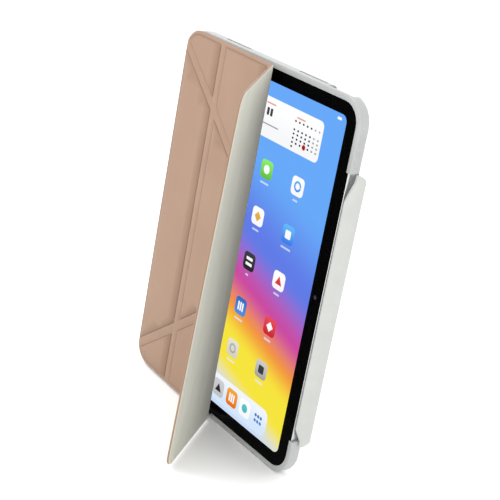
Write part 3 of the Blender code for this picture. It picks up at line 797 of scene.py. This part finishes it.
def coverPoint(u):
    # where the outer face runs, and its direction, at a distance u along the cover
    sections = bends()
    for centreU, corner, angleIn, angleOut, radius in sections:
        reach = bendReach(angleIn, angleOut, radius)
        if abs(u - centreU) < reach:
            share = (u - centreU + reach) / (2 * reach)
            angle = angleIn + (angleOut - angleIn) * share
            side = 90 if angleOut > angleIn else -90
            middle = corner - direction(angleIn) * reach + direction(angleIn + side) * radius
            return middle - direction(angle + side) * radius, angle
    nearest = max((s for s in sections if s[0] <= u), key=lambda s: s[0], default=None)
    if nearest is None:
        first = sections[0]
        return first[1] + direction(first[2]) * (u - first[0]), first[2]
    return nearest[1] + direction(nearest[3]) * (u - nearest[0]), nearest[3]


def thicknessShare(u):
    # the strip on the back is a single thin layer
    thin = cover["stripThickness"] / cover["thickness"]
    share = min(1.0, max(0.0, (u - spineU + 2.4) / 4.8))
    return thin + (1 - thin) * share * share * (3 - 2 * share)


def limited(share):
    return min(1.0, max(0.0, share))


def relaxed(point, u, z):
    # the outer flap opens a little wider towards its foot, and its upper corner sags
    corner = measured["corner"] + direction(measured["openAngle"]) * foldU
    low = (measured["top"] - z) / (measured["top"] + measured["bottom"])
    twist = cover["twistTop"] + (cover["twistBottom"] - cover["twistTop"]) * low
    turn = Matrix.Rotation(math.radians(twist * limited((u - foldU + 2) / 6)), 2)
    point = corner + turn @ (point - corner)
    sag = cover["cornerDrop"] * limited((u - foldU) / (endU - foldU)) * max(0.0, z / measured["top"])
    return point.x, point.y, z - sag


def coverPlace(u, z, depth):
    point, angle = coverPoint(u)
    point = point + direction(angle + 90) * (depth * thicknessShare(u))
    return at(point.x, point.y, z) if u < foldU - 2 else at(*relaxed(point, u, z))


def creaseDistance(u, z):
    slope = cover["slopeIn"] if u < creaseU else cover["slopeOut"]
    slanting = abs(abs(z) - (cover["junction"] - slope * (u - creaseU))) / math.hypot(1, slope)
    return min(abs(u - creaseU), abs(u - foldU), slanting)


def borderDistance(u, z):
    edge = measured["top"] if z > 0 else measured["bottom"]
    z = abs(z)
    across = min(edge - z, endU - u)
    for middleU, radius, beyond in ((cover["corner"], cover["corner"], u < cover["corner"]),
                                    (endU - cover["freeCorner"], cover["freeCorner"],
                                     u > endU - cover["freeCorner"])):
        if beyond and z > edge - radius:
            across = radius - math.hypot(u - middleU, z - edge + radius)
    return across


def boardDistance(u, z):
    # how far inside a board a point lies; below 0 in the creases and along the border
    if u < spineU + 1:
        return -1.0
    if u < 0:
        return min(measured["stripHalf"] - abs(z) - cover["border"], u - spineU - 1.4, -1.6 - u)
    return min(borderDistance(u, z) - cover["border"], creaseDistance(u, z) - cover["creaseHalf"],
               u - cover["border"])


def sunkDepth(distance):
    # the boards stand proud, and a line is pressed along their edges
    if distance > 0:
        return cover["lineDepth"] * max(0.0, 1 - distance / cover["step"])
    share = min(1.0, -distance / cover["lineRun"])
    return cover["lineDepth"] + (cover["recess"] - cover["lineDepth"]) * share


# painted shade: how strongly the rose is darkened at this distance from a pressed line's foot
def pressedLineShadeShare(distance):
    return max(0.0, 1 - abs(distance) / cover["lineRun"])


def coverRing(inset):
    halves = []
    for edge in (measured["top"], measured["bottom"]):
        free, corner, strip = cover["freeCorner"], cover["corner"], cover["stripCorner"]
        shoulder = edge - corner - measured["stripHalf"]
        half = arc((endU - free, edge - free), free - inset, 0, 90, 8)
        half += arc((corner, edge - corner), corner - inset, 90, 180, 14)
        half += arc((-shoulder, edge - corner), shoulder + inset, 0, -90, 4)
        half += arc((stripU + strip, measured["stripHalf"] - strip), strip - inset, 90, 180, 6)
        halves.append(half)
    return halves[0] + [(u, -z) for u, z in reversed(halves[1])]


def flatPlace(u, z, depth):
    return Vector((u, depth, z))


def cutAt(bm, point, normal, clear=None):
    options = {"clear_outer": clear == "outer", "clear_inner": clear == "inner"}
    geometry = bm.verts[:] + bm.edges[:] + bm.faces[:]
    bmesh.ops.bisect_plane(bm, geom=geometry, dist=1e-4, plane_co=point, plane_no=normal, **options)


def sliceForBends(bm):
    for centreU, corner, angleIn, angleOut, radius in bends():
        reach = bendReach(angleIn, angleOut, radius)
        steps = 10
        for step in range(steps + 1):
            cutAt(bm, (centreU - reach + 2 * reach * step / steps, 0, 0), (1, 0, 0))
        for away in (-1, 1):
            cutAt(bm, (centreU + away * (reach + 0.6), 0, 0), (1, 0, 0))


def sliceForCreases(bm):
    half = cover["creaseHalf"]
    offsets = (-cover["lineRun"], 0, cover["step"])
    lines = [cover["border"] + away for away in offsets] + [spineU + 1.4 + away for away in offsets]
    lines += [-1.6 - away for away in offsets]
    for centre in (creaseU, foldU):
        lines += [centre + side * (half + away) for side in (-1, 1) for away in offsets]
    for u in lines:
        cutAt(bm, (u, 0, 0), (1, 0, 0))
    for slope in (cover["slopeIn"], cover["slopeOut"]):
        for sign in (-1, 1):
            for away in [side * (half + offset) for side in (-1, 1) for offset in offsets]:
                rise = away * math.hypot(1, slope)
                cutAt(bm, (creaseU, 0, sign * (cover["junction"] + rise)), (slope, 0, sign))


def sliceGrid(bm, across, up):
    u = stripU + across / 2
    while u < endU:
        cutAt(bm, (u, 0, 0), (1, 0, 0))
        u += across
    z = -math.floor(measured["bottom"] / up) * up
    while z < measured["top"]:
        cutAt(bm, (0, 0, z), (0, 0, 1))
        z += up


def flatSkin():
    thick, border = cover["thickness"], cover["border"]
    levels = ((border + cover["step"], 0), (border, 0), (border - cover["lineRun"], 0), (0.7, 0),
              (0.25, 0.12), (0, 0.5), (0, thick - 0.6), (0.2, thick - 0.4), (0.7, thick - 0.35))
    bm = bmesh.new()
    addLoft(bm, [(depth, coverRing(inset)) for inset, depth in levels], flatPlace)
    sliceForBends(bm)
    sliceForCreases(bm)
    sliceGrid(bm, 9, 11)
    return bm


def flatLining():
    thick, inset = cover["thickness"], cover["liningInset"]
    levels = ((inset, thick - cover["liningEdge"]), (inset, thick - 0.1), (inset + 0.2, thick + 0.06))
    bm = bmesh.new()
    addLoft(bm, [(depth, coverRing(edge)) for edge, depth in levels], flatPlace)
    sliceForBends(bm)
    sliceGrid(bm, 5, 7)
    return bm


def wave(u, z, depth):
    # the cover isn't quite flat; its lining wrinkles a little, most of all beside the fold
    gentle = noise.noise(Vector((u / 38, z / 55, 3.1))) * cover["wave"]
    if depth > cover["thickness"] - 0.1:
        near = math.exp(-abs(u - foldU - 6) / 16)
        crumple = 0.5 + 0.5 * noise.noise(Vector((u / 7, z / 21, 8.4)))
        return gentle + crumple * (0.03 + 0.2 * near)
    return gentle


def coverPart(flat, name, start, end, material, bodies, nodes, recessed):
    bm = flat.copy()
    cutAt(bm, (start, 0, 0), (1, 0, 0), "inner")
    cutAt(bm, (end, 0, 0), (1, 0, 0), "outer")
    open_ = [edge for edge in bm.edges if edge.is_boundary]
    bmesh.ops.holes_fill(bm, edges=open_, sides=0)
    # each vertex keeps how much painted shade the rose gets beside a pressed line
    pressed_line_shade = bm.verts.layers.float.new("pressed_line_shade")
    for vert in bm.verts:
        u, depth, z = vert.co
        sunk = 0.0
        if recessed:
            near = max(0.0, 1 - depth / 1.1)
            distance = boardDistance(u, z)
            sunk = sunkDepth(distance) * near
            vert[pressed_line_shade] = pressedLineShadeShare(distance) * near
        vert.co = coverPlace(u, z, depth + sunk + wave(u, z, depth))
    piece = shaped(name, bm, [material], 55)
    if len(bodies) == 1:
        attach(piece, bodies[0])
    else:
        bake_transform(piece)
    if nodes:
        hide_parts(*nodes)


flapInserts = {
    "flap_board_outer": ("stiffener", "stiffener"), "flap_board_centre": ("stiffener", "stiffener"),
    "cover_magnet_upper": ("magnet", "magnet"), "cover_magnet_lower": ("magnet", "magnet"),
}


def makeFlapInserts():
    # the stiffeners and magnets inside the outer flap take its relaxed shape
    corner = measured["corner"] + direction(measured["openAngle"]) * foldU
    along = direction(measured["flapAngle"])
    for node, (materialName, slot) in flapInserts.items():
        bm = bmesh.new()
        bm.from_mesh(frame["nodes"][node].data)
        bmesh.ops.remove_doubles(bm, verts=bm.verts, dist=1e-6)
        cutEvery(bm, 18)
        for vert in bm.verts:
            x, y, z = inMm(vert.co)
            point = Vector((x, y))
            vert.co = at(*relaxed(point, foldU + (point - corner).dot(along), z))
        fit(shaped(node + "_relaxed", bm, [mats[materialName]]), "cover_flap", slot, node)


def cutEvery(bm, up):
    for step in range(-6, 7):
        cutAt(bm, at(0, 0, step * up), (0, 0, 1))


def makeCover():
    shell, spine, inner, middle, flap = (
        "tablet_and_shell", "spine", "cover_inner", "cover_middle", "cover_flap")
    parts = (
        ("back_strip", stripU - 1, spineU - 2.6, (shell,), ("back_strip",)),
        ("back_corner", spineU - 2.6, spineU + 2.6, (shell, spine), ()),
        ("spine", spineU + 2.6, -2.6, (spine,), ("spine",)),
        ("front_corner", -2.6, 2.6, (spine, inner), ()),
        ("inner_panel", 2.6, creaseU - 3, (inner,), ("inner",)),
        ("upright_crease", creaseU - 3, creaseU + 3, (inner, middle), ()),
        ("middle_panel", creaseU + 3, foldU - 3.2, (middle,), ("middle",)),
        ("fold", foldU - 3.2, foldU + 3.2, (middle, flap), ()),
        ("outer_flap", foldU + 3.2, endU + 1, (flap,), ("flap",)),
    )
    skin, lining = flatSkin(), flatLining()
    for name, start, end, bodies, stem in parts:
        isStrip = name == "back_strip"
        skins = stem if isStrip else tuple(node + "_skin" for node in stem)
        coverPart(skin, name + "_skin_cover", start, end, mats["rose"], bodies, skins, True)
        if isStrip:
            continue
        linings = tuple(node + "_lining" for node in stem)
        coverPart(lining, name + "_lining_cover", start, end, mats["lining"], bodies, linings,
                  False)
    skin.free()
    lining.free()
    makeFlapInserts()
    print("cover made:", len(parts), "parts along its length")


# Stage, camera and light

view = {"place": (616.2, -492.5, 277.9), "azimuth": 50.77, "elevation": 19.47, "roll": 10.78, "lens": 91.0}
light = {
    "world": 1.4, "keyPlace": (-700, -900, 900), "keySize": 900, "keyPower": 8.4,
    "fillPlace": (900, -500, 500), "fillSize": 900, "fillPower": 1.6, "floorSize": 30.0,
}


def makeCamera():
    azimuth, elevation, roll = (math.radians(view[key]) for key in ("azimuth", "elevation", "roll"))
    back = Vector((math.sin(azimuth) * math.cos(elevation), -math.cos(azimuth) * math.cos(elevation),
                   math.sin(elevation)))
    levelRight = Vector((0, 0, 1)).cross(back).normalized()
    levelUp = back.cross(levelRight)
    right = levelRight * math.cos(roll) + levelUp * math.sin(roll)
    up = levelUp * math.cos(roll) - levelRight * math.sin(roll)
    data = bpy.data.cameras.new("photo_view")
    data.lens = view["lens"]
    data.clip_start, data.clip_end = 0.01, 50
    camera = bpy.data.objects.new("photo_view", data)
    turn = Matrix((right, up, back)).transposed().to_4x4()
    camera.matrix_world = Matrix.Translation(at(*view["place"])) @ turn
    bpy.context.scene.collection.objects.link(camera)
    bpy.context.scene.camera = camera


def areaLight(name, place, size, power):
    data = bpy.data.lights.new(name, "AREA")
    data.size = size * mm
    data.energy = power
    lamp = bpy.data.objects.new(name, data)
    lamp.location = at(*place)
    lamp.rotation_mode = "QUATERNION"
    lamp.rotation_quaternion = (lamp.location - at(0, 0, 0)).to_track_quat("Z", "Y")
    bpy.context.scene.collection.objects.link(lamp)


def makeStage():
    world = bpy.data.worlds.new("soft_white")
    world.use_nodes = True
    background = world.node_tree.nodes["Background"]
    background.inputs["Color"].default_value = (1, 1, 1, 1)
    background.inputs["Strength"].default_value = light["world"]
    bpy.context.scene.world = world
    bpy.context.scene.view_settings.view_transform = "Standard"
    areaLight("key_light", light["keyPlace"], light["keySize"], light["keyPower"])
    areaLight("fill_light", light["fillPlace"], light["fillSize"], light["fillPower"])
    paper, tree, shader = finish("pale_paper", (0.94, 0.94, 0.94), 0.9)
    tone = spread(tree, grain(tree, objectSpace(tree), 8, 2), 0, 1)
    tree.links.new(blendColors(tree, tone, (0.97, 0.97, 0.97), (0.985, 0.985, 0.985)),
                   shader.inputs["Base Color"])
    bm = bmesh.new()
    bmesh.ops.create_grid(bm, x_segments=1, y_segments=1, size=light["floorSize"] / 2)
    floor = shaped("floor", bm, [paper])
    print("stage and light ready")


makeCamera()
makeStage()
makeScreenPicture()
makeCalendar()
finishHardPieces()
addSmallDetails()
makeCover()
